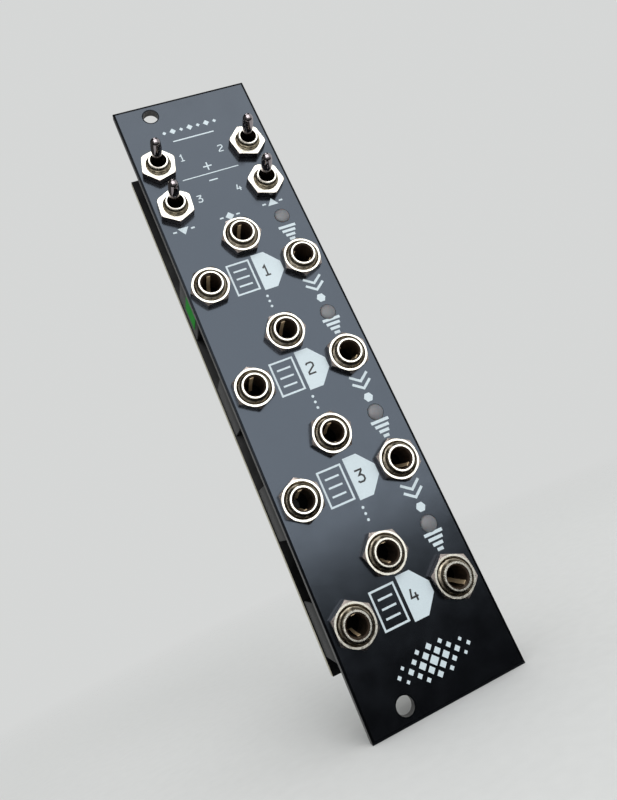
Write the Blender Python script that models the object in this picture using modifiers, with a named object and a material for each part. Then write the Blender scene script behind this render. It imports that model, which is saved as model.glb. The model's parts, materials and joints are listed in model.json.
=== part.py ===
"""A four channel amplifier module for a modular synthesiser rack.

A tall narrow front panel carries twelve jack sockets, four toggle switches and four indicator
lights.  The circuit board hangs behind the panel on those sockets and switches, and the power
header and the larger electronic parts stand on the back of the board.

Everything is in metres.  X runs to the right as seen from the front, Y runs into the rack and Z
runs up.  The origin is on the rear face of the panel, in the middle of the strip that lies
against the upper rail of the rack.
"""

import math

import bmesh
import bpy
from mathutils import Matrix, Vector

# Front panel
PANEL_WIDTH = 0.030
PANEL_HEIGHT = 0.1285
PANEL_THICKNESS = 0.0016
PANEL_EDGE_BEVEL = 0.00015
RAIL_STRIP_HEIGHT = 0.008
MOUNT_HOLE_RADIUS = 0.0016
MOUNT_HOLE_FROM_SIDE = 0.0075
MOUNT_HOLE_FROM_END = 0.0029

# Places on the panel, as shares of its width from its middle and of its height from its middle
IN_COLUMN_SHARE = -0.339
CV_COLUMN_SHARE = -0.004
OUT_COLUMN_SHARE = 0.319
LIGHT_COLUMN_SHARE = 0.331
TOGGLE_COLUMN_SHARES = (-0.344, 0.321)
IN_OUT_ROW_SHARES = (0.1512, -0.0201, -0.1921, -0.3636)
CV_ROW_SHARES = (0.2174, 0.0443, -0.1221, -0.2988)
LIGHT_ROW_SHARES = (0.2329, 0.0533, -0.1167, -0.2892)
TOGGLE_ROW_SHARES = (0.3774, 0.2988)

# Gaps between pieces that rest on each other, and round what passes through a hole
SEAT_GAP = 0.0003
HOLE_CLEARANCE = 0.0003
LIGHT_CLEARANCE = 0.0002
CUT_OVERRUN = 0.001

# Jack socket: threaded bushing, hexagon nut and moulded housing
BUSHING_RADIUS = 0.00295
BUSHING_REACH = 0.00275
BUSHING_CHAMFER = 0.0005
PLUG_BORE_RADIUS = 0.00185
PLUG_BORE_CHAMFER = 0.0001
JACK_NUT_FLATS = 0.0074
JACK_NUT_HEIGHT = 0.00135
HOUSING_SIDE_GAP = 0.00069
HOUSING_HEIGHT = 0.0105
HOUSING_DEPTH = 0.0102
HOUSING_EDGE_BEVEL = 0.0003
HOUSING_POCKET_DEPTH = 0.0015
HOUSING_FLOOR = 0.0012

# Nuts of both kinds, and how far each was left turned when it was tightened, in degrees
NUT_CHAMFER_ANGLE = math.radians(28)
NUT_CHAMFER_INSET = 0.0001
HEXAGON_SIDES = 6
IN_NUT_TURNS = (33, 57, 57, 0)
CV_NUT_TURNS = (27, 27, 39, 17)
OUT_NUT_TURNS = (50, 49, 3, 8)
TOGGLE_NUT_TURNS = (45, 12, 55, 12)

# Toggle switch: case with its threaded bushing, hexagon nut and bat lever
TOGGLE_BUSHING_RADIUS = 0.00245
TOGGLE_BUSHING_REACH = 0.003
TOGGLE_BUSHING_CHAMFER = 0.0005
TOGGLE_BORE_RADIUS = 0.00165
TOGGLE_BORE_BELOW_PIVOT = 0.0032
TOGGLE_NUT_FLATS = 0.0068
TOGGLE_NUT_HEIGHT = 0.0013
TOGGLE_CASE_WIDTH = 0.0068
TOGGLE_CASE_HEIGHT = 0.0082
TOGGLE_CASE_EDGE_BEVEL = 0.0002
LEVER_THROW = math.radians(12)
LEVER_PIVOT_HEIGHT = 0.001
LEVER_LENGTH = 0.007
LEVER_BALL_RADIUS = 0.0013
LEVER_NECK_RADIUS = 0.0009
LEVER_TIP_RADIUS = 0.00115
LEVER_TAIL_RADIUS = 0.0006
LEVER_TAIL_LENGTH = 0.0024
LEVER_BALL_RINGS = 4
LEVER_TIP_RINGS = 3

# Indicator light
LIGHT_RADIUS = 0.00155
LIGHT_REACH = 0.00055
LIGHT_LENGTH = 0.0052
LIGHT_FLANGE_RADIUS = 0.0019
LIGHT_FLANGE_DEPTH = 0.001
LIGHT_LEG_WIDTH = 0.0005
LIGHT_LEG_SPACING = 0.00254
LIGHT_DOME_RINGS = 4

# Circuit board
BOARD_SIDE_MARGIN = 0.00015
BOARD_RAIL_CLEARANCE = 0.00075
BOARD_THICKNESS = 0.0016
BOARD_EDGE_BEVEL = 0.00015

# Places of the pieces on the back of the board, as shares of its width and height from its middle
HEADER_COLUMN_SHARE = 0.12
HEADER_ROW_SHARE = -0.32
VCA_CHIP_COLUMN_SHARE = -0.16
VCA_CHIP_ROW_SHARE = 0.023
BUFFER_CHIP_COLUMN_SHARE = 0.2
BUFFER_CHIP_ROW_SHARES = (0.22, 0.0)
CAPACITOR_COLUMN_SHARE = -0.27
CAPACITOR_ROW_SHARES = (-0.23, -0.32)

# Power header on the back of the board
HEADER_WIDTH = 0.0088
HEADER_LENGTH = 0.0203
HEADER_DEPTH = 0.0091
HEADER_WALL = 0.0011
HEADER_FLOOR = 0.0024
HEADER_KEY_WIDTH = 0.0045
HEADER_KEY_DEPTH = 0.0062
HEADER_PIN_WIDTH = 0.00064
HEADER_PIN_PITCH = 0.00254
HEADER_PIN_LENGTH = 0.0058
HEADER_PIN_COLUMNS = 2
HEADER_PIN_ROWS = 5

# Amplifier chips on the back of the board, each a plain package
CHIP_EDGE_BEVEL = 0.00015
VCA_CHIP_WIDTH = 0.0075
VCA_CHIP_LENGTH = 0.0103
VCA_CHIP_DEPTH = 0.0024
BUFFER_CHIP_WIDTH = 0.0039
BUFFER_CHIP_LENGTH = 0.00865
BUFFER_CHIP_DEPTH = 0.0016

# Smoothing capacitors on the back of the board
CAPACITOR_RADIUS = 0.00315
CAPACITOR_DEPTH = 0.0058
CAPACITOR_BASE_WIDTH = 0.0066
CAPACITOR_BASE_DEPTH = 0.0011
CAPACITOR_EDGE_BEVEL = 0.0003

# Sides of the round pieces, and how near points of a turned piece are joined
ROUND_STEPS = 20
SMALL_ROUND_STEPS = 16
SMOOTH_ANGLE = math.radians(35)
MERGE_DISTANCE = 0.000001

# Depths measured from the front face of the panel, where outwards is positive
HOUSING_FRONT = -PANEL_THICKNESS - SEAT_GAP
HOUSING_BACK = HOUSING_FRONT - HOUSING_DEPTH
BOARD_FRONT = HOUSING_BACK - SEAT_GAP
BOARD_BACK = BOARD_FRONT - BOARD_THICKNESS
BACK_PIECE_FRONT = BOARD_BACK - SEAT_GAP
BUSHING_POCKET_RADIUS = BUSHING_RADIUS + HOLE_CLEARANCE

# The housings of neighbouring columns stand side by side with a gap between them
HOUSING_WIDTH = (OUT_COLUMN_SHARE - CV_COLUMN_SHARE) * PANEL_WIDTH - HOUSING_SIDE_GAP

# The board is a little narrower than the panel, and stops short of the rails
BOARD_WIDTH = PANEL_WIDTH - 2 * BOARD_SIDE_MARGIN
BOARD_HEIGHT = PANEL_HEIGHT - 2 * (RAIL_STRIP_HEIGHT + BOARD_RAIL_CLEARANCE)


def clear_scene():
    for old in list(bpy.data.objects):
        bpy.data.objects.remove(old)


def new_collection(name):
    collection = bpy.data.collections.new(name)
    bpy.context.scene.collection.children.link(collection)
    return collection


def new_material(name, colour, roughness, metallic):
    made = bpy.data.materials.new(name)
    made.use_nodes = True
    shader = made.node_tree.nodes["Principled BSDF"]
    shader.inputs["Base Color"].default_value = (*colour, 1.0)
    shader.inputs["Roughness"].default_value = roughness
    shader.inputs["Metallic"].default_value = metallic
    return made


def panel_x(share):
    return share * PANEL_WIDTH


def panel_y(share):
    return share * PANEL_HEIGHT


def board_place(column_share, row_share):
    return (column_share * BOARD_WIDTH, row_share * BOARD_HEIGHT)


def add_object(name, mesh, collection, look=None, place=(0, 0, 0), tilt=0.0, turn=0.0):
    """A mesh set in the panel's own frame: x to the right, y up and z out of its front face."""
    made = bpy.data.objects.new(name, mesh)
    collection.objects.link(made)
    made.parent = bpy.data.objects["panel_front"]
    made.location = place
    made.rotation_euler = (tilt, 0, turn)
    if look:
        made.data.materials.clear()
        made.data.materials.append(look)
    return made


def mesh_from(bm, name):
    mesh = bpy.data.meshes.new(name)
    bm.to_mesh(mesh)
    bm.free()
    return mesh


def add_box(bm, width, height, low, high, centre=(0, 0)):
    """A box of this width and height round the centre, from the depth low to the depth high."""
    size = Matrix.Diagonal((width, height, high - low, 1))
    place = Matrix.Translation(Vector((*centre, (low + high) / 2)))
    bmesh.ops.create_cube(bm, size=1, matrix=place @ size)


def add_cylinder(bm, radius, low, high, steps, centre=(0, 0)):
    place = Matrix.Translation(Vector((*centre, (low + high) / 2)))
    bmesh.ops.create_cone(
        bm, cap_ends=True, segments=steps, radius1=radius, radius2=radius, depth=high - low, matrix=place
    )


def box_mesh(name, width, height, low, high):
    bm = bmesh.new()
    add_box(bm, width, height, low, high)
    return mesh_from(bm, name)


def turned(name, profile, steps, collection, closed):
    """A turned piece: its profile, down the outer side from the top, with a Screw modifier."""
    bm = bmesh.new()
    points = [bm.verts.new((radius, 0, height)) for radius, height in profile]
    for first, second in zip(points, points[1:]):
        bm.edges.new((first, second))
    if closed:
        bm.edges.new((points[-1], points[0]))
    made = add_object(name, mesh_from(bm, name), collection)
    screw = made.modifiers.new("Turned", "SCREW")
    screw.steps = steps
    screw.render_steps = steps
    screw.use_merge_vertices = True
    screw.merge_threshold = MERGE_DISTANCE
    return made


def bevel(piece, width):
    rounded = piece.modifiers.new("Edges", "BEVEL")
    rounded.width = width
    rounded.segments = 1
    rounded.limit_method = "ANGLE"


def combine(piece, tool, operation):
    joined = piece.modifiers.new(operation.title(), "BOOLEAN")
    joined.operation = operation
    joined.solver = "EXACT"
    joined.object = tool


def as_tool(tool):
    tool.hide_render = True
    tool.display_type = "WIRE"
    return tool


def tool_from(bm, name, collection):
    return as_tool(add_object(name, mesh_from(bm, name), collection))


def smooth(mesh):
    mesh.shade_smooth()
    mesh.set_sharp_from_angle(angle=SMOOTH_ANGLE)


def finished_mesh(piece, *tools):
    """The mesh of a piece with its modifiers applied.  The piece and its tools are removed."""
    bpy.context.view_layer.update()
    shaped = piece.evaluated_get(bpy.context.evaluated_depsgraph_get())
    mesh = bpy.data.meshes.new_from_object(shaped)
    mesh.name = piece.name
    smooth(mesh)
    for spent in (piece, *tools):
        bpy.data.objects.remove(spent)
    return mesh


def arc(radius, start, end, steps, height=0.0):
    """Points on a quarter or less of a circle about the axis, as radius and height."""
    angles = [start + (end - start) * step / steps for step in range(steps + 1)]
    return [(radius * math.cos(angle), height + radius * math.sin(angle)) for angle in angles]


def front_panel(parts, cutters, look):
    """The panel with a hole for each socket, switch, light and rack screw."""
    bm = bmesh.new()
    add_box(bm, PANEL_WIDTH, PANEL_HEIGHT, -PANEL_THICKNESS, 0)
    strip_edge = PANEL_HEIGHT / 2 - RAIL_STRIP_HEIGHT
    for height in (strip_edge, -strip_edge):
        everything = bm.verts[:] + bm.edges[:] + bm.faces[:]
        bmesh.ops.bisect_plane(bm, geom=everything, plane_co=(0, height, 0), plane_no=(0, 1, 0))
    panel = add_object("front_panel", mesh_from(bm, "front_panel"), parts, look)
    bevel(panel, PANEL_EDGE_BEVEL)

    holes = bmesh.new()
    low, high = -PANEL_THICKNESS - CUT_OVERRUN, CUT_OVERRUN
    for place in jack_places().values():
        add_cylinder(holes, BUSHING_RADIUS + HOLE_CLEARANCE, low, high, ROUND_STEPS, place)
    for place in toggle_places():
        add_cylinder(holes, TOGGLE_BUSHING_RADIUS + HOLE_CLEARANCE, low, high, ROUND_STEPS, place)
    for place in light_places():
        add_cylinder(holes, LIGHT_RADIUS + LIGHT_CLEARANCE, low, high, SMALL_ROUND_STEPS, place)
    for side in (1, -1):
        place = (MOUNT_HOLE_FROM_SIDE - PANEL_WIDTH / 2, side * (PANEL_HEIGHT / 2 - MOUNT_HOLE_FROM_END))
        add_cylinder(holes, MOUNT_HOLE_RADIUS, low, high, SMALL_ROUND_STEPS, place)
    combine(panel, tool_from(holes, "panel_holes", cutters), "DIFFERENCE")


def jack_places():
    """Where each socket is, by the end of its nodes' names."""
    columns = {
        "in": (IN_COLUMN_SHARE, IN_OUT_ROW_SHARES),
        "cv": (CV_COLUMN_SHARE, CV_ROW_SHARES),
        "out": (OUT_COLUMN_SHARE, IN_OUT_ROW_SHARES),
    }
    return {
        f"{kind}_{channel}": (panel_x(column), panel_y(row))
        for kind, (column, rows) in columns.items()
        for channel, row in enumerate(rows, start=1)
    }


def jack_nut_turns():
    """How far the nut of each socket is turned, by the end of its nodes' names."""
    turns = {"in": IN_NUT_TURNS, "cv": CV_NUT_TURNS, "out": OUT_NUT_TURNS}
    return {
        f"{kind}_{channel}": math.radians(turn)
        for kind, column_turns in turns.items()
        for channel, turn in enumerate(column_turns, start=1)
    }


def toggle_places():
    return [
        (panel_x(column), panel_y(row)) for row in TOGGLE_ROW_SHARES for column in TOGGLE_COLUMN_SHARES
    ]


def light_places():
    return [(panel_x(LIGHT_COLUMN_SHARE), panel_y(row)) for row in LIGHT_ROW_SHARES]


def nut_mesh(name, flats, height, bore_radius, cutters):
    """A hexagon nut on the panel with the corners of its outer face turned off."""
    low, high = SEAT_GAP, SEAT_GAP + height
    corner_radius = flats / 2 / math.cos(math.pi / HEXAGON_SIDES)
    bm = bmesh.new()
    add_cylinder(bm, corner_radius, low, high, HEXAGON_SIDES)
    nut = add_object(name, mesh_from(bm, name), cutters)

    face_radius = flats / 2 - NUT_CHAMFER_INSET
    cone_radius = corner_radius + CUT_OVERRUN
    cone_low = high - (cone_radius - face_radius) * math.tan(NUT_CHAMFER_ANGLE)
    profile = [
        (0, high + CUT_OVERRUN),
        (face_radius, high + CUT_OVERRUN),
        (face_radius, high),
        (cone_radius, cone_low),
        (cone_radius, low - CUT_OVERRUN),
        (0, low - CUT_OVERRUN),
    ]
    corners = as_tool(turned(name + "_corners", profile, ROUND_STEPS, cutters, False))
    combine(nut, corners, "INTERSECT")
    hole = bmesh.new()
    add_cylinder(hole, bore_radius, low - CUT_OVERRUN, high + CUT_OVERRUN, ROUND_STEPS)
    bore = tool_from(hole, name + "_bore", cutters)
    combine(nut, bore, "DIFFERENCE")
    return finished_mesh(nut, corners, bore)


def jack_bushing_mesh(cutters):
    """The threaded bushing of a socket, from its seat in the housing to its mouth."""
    foot = HOUSING_FRONT - HOUSING_POCKET_DEPTH + SEAT_GAP
    profile = [
        (BUSHING_RADIUS - BUSHING_CHAMFER, BUSHING_REACH),
        (BUSHING_RADIUS, BUSHING_REACH - BUSHING_CHAMFER),
        (BUSHING_RADIUS, foot),
        (PLUG_BORE_RADIUS, foot),
        (PLUG_BORE_RADIUS, BUSHING_REACH - PLUG_BORE_CHAMFER),
        (PLUG_BORE_RADIUS + PLUG_BORE_CHAMFER, BUSHING_REACH),
    ]
    return finished_mesh(turned("jack_bushing", profile, ROUND_STEPS, cutters, True))


def jack_housing_mesh(cutters):
    """The moulded body of a socket, with a pocket for the bushing and a blind bore for the plug."""
    shape = box_mesh("jack_housing", HOUSING_WIDTH, HOUSING_HEIGHT, HOUSING_BACK, HOUSING_FRONT)
    housing = add_object("jack_housing", shape, cutters)
    bevel(housing, HOUSING_EDGE_BEVEL)
    pocket_floor = HOUSING_FRONT - HOUSING_POCKET_DEPTH
    profile = [
        (0, HOUSING_FRONT + CUT_OVERRUN),
        (BUSHING_POCKET_RADIUS, HOUSING_FRONT + CUT_OVERRUN),
        (BUSHING_POCKET_RADIUS, pocket_floor),
        (PLUG_BORE_RADIUS, pocket_floor),
        (PLUG_BORE_RADIUS, HOUSING_BACK + HOUSING_FLOOR),
        (0, HOUSING_BACK + HOUSING_FLOOR),
    ]
    socket = as_tool(turned("housing_socket", profile, ROUND_STEPS, cutters, False))
    combine(housing, socket, "DIFFERENCE")
    return finished_mesh(housing, socket)


def jack_sockets(parts, cutters, looks):
    bushing = jack_bushing_mesh(cutters)
    housing = jack_housing_mesh(cutters)
    nut = nut_mesh("jack_nut", JACK_NUT_FLATS, JACK_NUT_HEIGHT, BUSHING_RADIUS + HOLE_CLEARANCE, cutters)
    turns = jack_nut_turns()
    for label, (x, y) in jack_places().items():
        add_object(f"jack_housing_{label}", housing, parts, looks["jack_plastic"], (x, y, 0))
        add_object(f"jack_bushing_{label}", bushing, parts, looks["nickel"], (x, y, 0))
        add_object(f"jack_nut_{label}", nut, parts, looks["nickel"], (x, y, 0), turn=turns[label])


def toggle_body_mesh(cutters):
    """The case of a switch and the threaded bushing riveted to its frame."""
    shape = box_mesh("toggle_body", TOGGLE_CASE_WIDTH, TOGGLE_CASE_HEIGHT, HOUSING_BACK, HOUSING_FRONT)
    case = add_object("toggle_body", shape, cutters)
    bevel(case, TOGGLE_CASE_EDGE_BEVEL)
    profile = [
        (0, TOGGLE_BUSHING_REACH),
        (TOGGLE_BUSHING_RADIUS - TOGGLE_BUSHING_CHAMFER, TOGGLE_BUSHING_REACH),
        (TOGGLE_BUSHING_RADIUS, TOGGLE_BUSHING_REACH - TOGGLE_BUSHING_CHAMFER),
        (TOGGLE_BUSHING_RADIUS, HOUSING_FRONT - CUT_OVERRUN),
        (0, HOUSING_FRONT - CUT_OVERRUN),
    ]
    bushing = as_tool(turned("toggle_bushing", profile, ROUND_STEPS, cutters, False))
    combine(case, bushing, "UNION")
    hole = bmesh.new()
    floor = LEVER_PIVOT_HEIGHT - TOGGLE_BORE_BELOW_PIVOT
    add_cylinder(hole, TOGGLE_BORE_RADIUS, floor, TOGGLE_BUSHING_REACH + CUT_OVERRUN, ROUND_STEPS)
    bore = tool_from(hole, "toggle_bore", cutters)
    combine(case, bore, "DIFFERENCE")
    return finished_mesh(case, bushing, bore)


def lever_mesh(cutters):
    """A bat lever about its pivot: rounded tip, waisted neck, ball and tail."""
    neck_angle = math.acos(LEVER_NECK_RADIUS / LEVER_BALL_RADIUS)
    tail_angle = math.acos(LEVER_TAIL_RADIUS / LEVER_BALL_RADIUS)
    tip_height = LEVER_LENGTH - LEVER_TIP_RADIUS
    tip = arc(LEVER_TIP_RADIUS, math.pi / 2, 0, LEVER_TIP_RINGS, tip_height)
    ball = arc(LEVER_BALL_RADIUS, neck_angle, -tail_angle, LEVER_BALL_RINGS)
    tail = [(LEVER_TAIL_RADIUS, -LEVER_TAIL_LENGTH), (0, -LEVER_TAIL_LENGTH)]
    profile = [(0, LEVER_LENGTH), *tip[1:], *ball, *tail]
    return finished_mesh(turned("toggle_lever", profile, SMALL_ROUND_STEPS, cutters, False))


def toggle_switches(parts, cutters, looks):
    body = toggle_body_mesh(cutters)
    lever = lever_mesh(cutters)
    bore = TOGGLE_BUSHING_RADIUS + HOLE_CLEARANCE
    nut = nut_mesh("toggle_nut", TOGGLE_NUT_FLATS, TOGGLE_NUT_HEIGHT, bore, cutters)
    for number, ((x, y), turn) in enumerate(zip(toggle_places(), TOGGLE_NUT_TURNS), start=1):
        add_object(f"toggle_body_{number}", body, parts, looks["toggle_case"], (x, y, 0))
        turned_by = math.radians(turn)
        add_object(f"toggle_nut_{number}", nut, parts, looks["nickel"], (x, y, 0), turn=turned_by)
        pivot = (x, y, LEVER_PIVOT_HEIGHT)
        add_object(f"toggle_lever_{number}", lever, parts, looks["chrome"], pivot, tilt=-LEVER_THROW)


def light_mesh(cutters):
    """A lens with a domed end and a flange, and the two legs that stand on the board."""
    back = LIGHT_REACH - LIGHT_LENGTH
    dome = arc(LIGHT_RADIUS, math.pi / 2, 0, LIGHT_DOME_RINGS)
    # The dome is flattened, because only its crown stands out of the panel
    crown = [(radius, LIGHT_REACH * height / LIGHT_RADIUS) for radius, height in dome]
    profile = [
        (0, LIGHT_REACH),
        *crown[1:],
        (LIGHT_RADIUS, back + LIGHT_FLANGE_DEPTH),
        (LIGHT_FLANGE_RADIUS, back + LIGHT_FLANGE_DEPTH),
        (LIGHT_FLANGE_RADIUS, back),
        (0, back),
    ]
    lens = turned("light", profile, SMALL_ROUND_STEPS, cutters, False)
    legs = bmesh.new()
    foot, top = BOARD_FRONT + SEAT_GAP, back + LIGHT_FLANGE_DEPTH / 2
    for side in (-1, 1):
        add_box(legs, LIGHT_LEG_WIDTH, LIGHT_LEG_WIDTH, foot, top, (side * LIGHT_LEG_SPACING / 2, 0))
    stand = tool_from(legs, "light_legs", cutters)
    combine(lens, stand, "UNION")
    return finished_mesh(lens, stand)


def indicator_lights(parts, cutters, look):
    light = light_mesh(cutters)
    for number, place in enumerate(light_places(), start=1):
        add_object(f"indicator_light_{number}", light, parts, look, (*place, 0))


def main_board(parts, look):
    shape = box_mesh("main_board", BOARD_WIDTH, BOARD_HEIGHT, BOARD_BACK, BOARD_FRONT)
    bevel(add_object("main_board", shape, parts, look), BOARD_EDGE_BEVEL)


def power_header(parts, cutters, look):
    """A keyed box header: a shroud open at the back, with two rows of pins on its floor."""
    back = BACK_PIECE_FRONT - HEADER_DEPTH
    place = (*board_place(HEADER_COLUMN_SHARE, HEADER_ROW_SHARE), 0)
    shape = box_mesh("power_header", HEADER_WIDTH, HEADER_LENGTH, back, BACK_PIECE_FRONT)
    shroud = add_object("power_header", shape, cutters)
    floor = BACK_PIECE_FRONT - HEADER_FLOOR
    hollow = bmesh.new()
    inner_width, inner_length = HEADER_WIDTH - 2 * HEADER_WALL, HEADER_LENGTH - 2 * HEADER_WALL
    add_box(hollow, inner_width, inner_length, back - CUT_OVERRUN, floor)
    cavity = tool_from(hollow, "header_cavity", cutters)
    combine(shroud, cavity, "DIFFERENCE")
    notch = bmesh.new()
    low, high = back - CUT_OVERRUN, back + HEADER_KEY_DEPTH
    add_box(notch, 2 * HEADER_WALL + CUT_OVERRUN, HEADER_KEY_WIDTH, low, high, (HEADER_WIDTH / 2, 0))
    key = tool_from(notch, "header_key", cutters)
    combine(shroud, key, "DIFFERENCE")
    rods = bmesh.new()
    for column in range(HEADER_PIN_COLUMNS):
        for row in range(HEADER_PIN_ROWS):
            x = (column - (HEADER_PIN_COLUMNS - 1) / 2) * HEADER_PIN_PITCH
            y = (row - (HEADER_PIN_ROWS - 1) / 2) * HEADER_PIN_PITCH
            inside = floor + HEADER_FLOOR / 2
            add_box(rods, HEADER_PIN_WIDTH, HEADER_PIN_WIDTH, floor - HEADER_PIN_LENGTH, inside, (x, y))
    pins = tool_from(rods, "header_pins", cutters)
    combine(shroud, pins, "UNION")
    add_object("power_header", finished_mesh(shroud, cavity, key, pins), parts, look, place)


def chip(name, width, length, depth, place, parts, look):
    shape = box_mesh(name, width, length, BACK_PIECE_FRONT - depth, BACK_PIECE_FRONT)
    bevel(add_object(name, shape, parts, look, (*place, 0)), CHIP_EDGE_BEVEL)


def chips(parts, look):
    place = board_place(VCA_CHIP_COLUMN_SHARE, VCA_CHIP_ROW_SHARE)
    chip("amplifier_chip", VCA_CHIP_WIDTH, VCA_CHIP_LENGTH, VCA_CHIP_DEPTH, place, parts, look)
    for number, row in enumerate(BUFFER_CHIP_ROW_SHARES, start=1):
        place = board_place(BUFFER_CHIP_COLUMN_SHARE, row)
        name = f"buffer_chip_{number}"
        chip(name, BUFFER_CHIP_WIDTH, BUFFER_CHIP_LENGTH, BUFFER_CHIP_DEPTH, place, parts, look)


def capacitor_mesh(cutters):
    """A can standing on a square moulded base."""
    back = BACK_PIECE_FRONT - CAPACITOR_DEPTH
    base_back = BACK_PIECE_FRONT - CAPACITOR_BASE_DEPTH
    shape = box_mesh("capacitor", CAPACITOR_BASE_WIDTH, CAPACITOR_BASE_WIDTH, base_back, BACK_PIECE_FRONT)
    base = add_object("capacitor", shape, cutters)
    profile = [
        (0, BACK_PIECE_FRONT - CAPACITOR_BASE_DEPTH / 2),
        (CAPACITOR_RADIUS, BACK_PIECE_FRONT - CAPACITOR_BASE_DEPTH / 2),
        (CAPACITOR_RADIUS, back + CAPACITOR_EDGE_BEVEL),
        (CAPACITOR_RADIUS - CAPACITOR_EDGE_BEVEL, back),
        (0, back),
    ]
    can = as_tool(turned("capacitor_can", profile, ROUND_STEPS, cutters, False))
    combine(base, can, "UNION")
    return finished_mesh(base, can)


def capacitors(parts, cutters, look):
    capacitor = capacitor_mesh(cutters)
    for number, row in enumerate(CAPACITOR_ROW_SHARES, start=1):
        place = (*board_place(CAPACITOR_COLUMN_SHARE, row), 0)
        add_object(f"capacitor_{number}", capacitor, parts, look, place)


def main():
    clear_scene()
    parts = new_collection("eurorack_module")
    cutters = new_collection("cutters")
    looks = {
        "panel_black": new_material("panel_black", (0.02, 0.022, 0.028), 0.3, 0.0),
        "board_black": new_material("board_black", (0.012, 0.013, 0.014), 0.35, 0.0),
        "jack_plastic": new_material("jack_plastic", (0.015, 0.015, 0.015), 0.3, 0.0),
        "nickel": new_material("nickel", (0.72, 0.68, 0.6), 0.2, 1.0),
        "chrome": new_material("chrome", (0.75, 0.74, 0.73), 0.1, 1.0),
        "toggle_case": new_material("toggle_case", (0.6, 0.57, 0.5), 0.3, 1.0),
        "light_lens": new_material("light_lens", (0.35, 0.35, 0.37), 0.45, 0.0),
        "header_plastic": new_material("header_plastic", (0.02, 0.02, 0.02), 0.5, 0.0),
        "chip_plastic": new_material("chip_plastic", (0.025, 0.025, 0.027), 0.55, 0.0),
        "capacitor_can": new_material("capacitor_can", (0.7, 0.7, 0.7), 0.3, 1.0),
    }
    front = bpy.data.objects.new("panel_front", None)
    parts.objects.link(front)
    front.location = (0, -PANEL_THICKNESS, (RAIL_STRIP_HEIGHT - PANEL_HEIGHT) / 2)
    front.rotation_euler = (math.pi / 2, 0, 0)

    front_panel(parts, cutters, looks["panel_black"])
    jack_sockets(parts, cutters, looks)
    toggle_switches(parts, cutters, looks)
    indicator_lights(parts, cutters, looks["light_lens"])
    main_board(parts, looks["board_black"])
    power_header(parts, cutters, looks["header_plastic"])
    chips(parts, looks["chip_plastic"])
    capacitors(parts, cutters, looks["capacitor_can"])


main()
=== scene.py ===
"""Looks for the four channel amplifier module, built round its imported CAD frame.

Lengths are in millimetres unless a line says otherwise, and places are in the panel's own frame:
x to the right, y up from the middle of the panel and z out of its front face.
"""

import json
import math
import random

import bmesh
import bpy
from mathutils import Euler, Matrix, Vector

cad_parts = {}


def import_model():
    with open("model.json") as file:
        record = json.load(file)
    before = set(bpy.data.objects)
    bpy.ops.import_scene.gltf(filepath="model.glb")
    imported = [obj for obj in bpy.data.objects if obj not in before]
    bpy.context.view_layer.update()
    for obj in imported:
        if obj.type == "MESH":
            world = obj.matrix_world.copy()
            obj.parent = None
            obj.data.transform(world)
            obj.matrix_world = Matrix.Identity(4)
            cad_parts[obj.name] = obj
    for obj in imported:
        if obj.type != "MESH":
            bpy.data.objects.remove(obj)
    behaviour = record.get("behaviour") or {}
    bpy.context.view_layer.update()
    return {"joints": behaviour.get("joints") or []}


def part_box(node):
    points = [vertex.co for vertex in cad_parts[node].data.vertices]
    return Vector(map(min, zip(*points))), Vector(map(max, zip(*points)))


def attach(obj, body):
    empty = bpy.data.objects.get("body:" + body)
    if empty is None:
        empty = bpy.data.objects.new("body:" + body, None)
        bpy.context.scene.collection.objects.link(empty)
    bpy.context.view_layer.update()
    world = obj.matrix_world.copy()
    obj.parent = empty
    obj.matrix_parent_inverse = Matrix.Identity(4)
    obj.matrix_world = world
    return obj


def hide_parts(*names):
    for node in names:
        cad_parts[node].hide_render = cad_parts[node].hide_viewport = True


MM = 0.001
ROOT = "module"
CHANNELS = (1, 2, 3, 4)
COLUMNS = ("in", "cv", "out")

# Camera, fitted to the corners, sockets and holes seen in the photograph
CAMERA_PLACE = (-33.51, -111.46, -86.74)
CAMERA_ANGLES = (105.79, 22.69, -7.48)
FOCAL_PIXELS = 611.9
CENTRE_PIXEL = (259.0, 357.7)
PHOTO_SIZE = (617, 800)
SENSOR = 36.0

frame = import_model()

PANEL_LOW, PANEL_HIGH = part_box("front_panel")
PANEL_MIDDLE = (PANEL_LOW + PANEL_HIGH) / 2
UPRIGHT = Matrix.Rotation(math.pi / 2, 4, "X")
FRONT = Matrix.Translation((PANEL_MIDDLE.x, PANEL_LOW.y, PANEL_MIDDLE.z)) @ UPRIGHT
TO_PANEL = FRONT.inverted()
PANEL_WIDTH = (PANEL_HIGH.x - PANEL_LOW.x) / MM
PANEL_HEIGHT = (PANEL_HIGH.z - PANEL_LOW.z) / MM
PANEL_THICKNESS = (PANEL_HIGH.y - PANEL_LOW.y) / MM


def node_box(node):
    """Lowest and highest corner of a CAD node in the panel's frame, in millimetres."""
    ends = [TO_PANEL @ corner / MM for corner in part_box(node)]
    low = Vector([min(end[axis] for end in ends) for axis in range(3)])
    high = Vector([max(end[axis] for end in ends) for axis in range(3)])
    return low, high


def node_place(node):
    """The middle of a CAD node, across and up the panel."""
    low, high = node_box(node)
    return (low.x + high.x) / 2, (low.y + high.y) / 2


def half_sizes(low, high):
    return (high.x - low.x) / 2, (high.y - low.y) / 2


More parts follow.
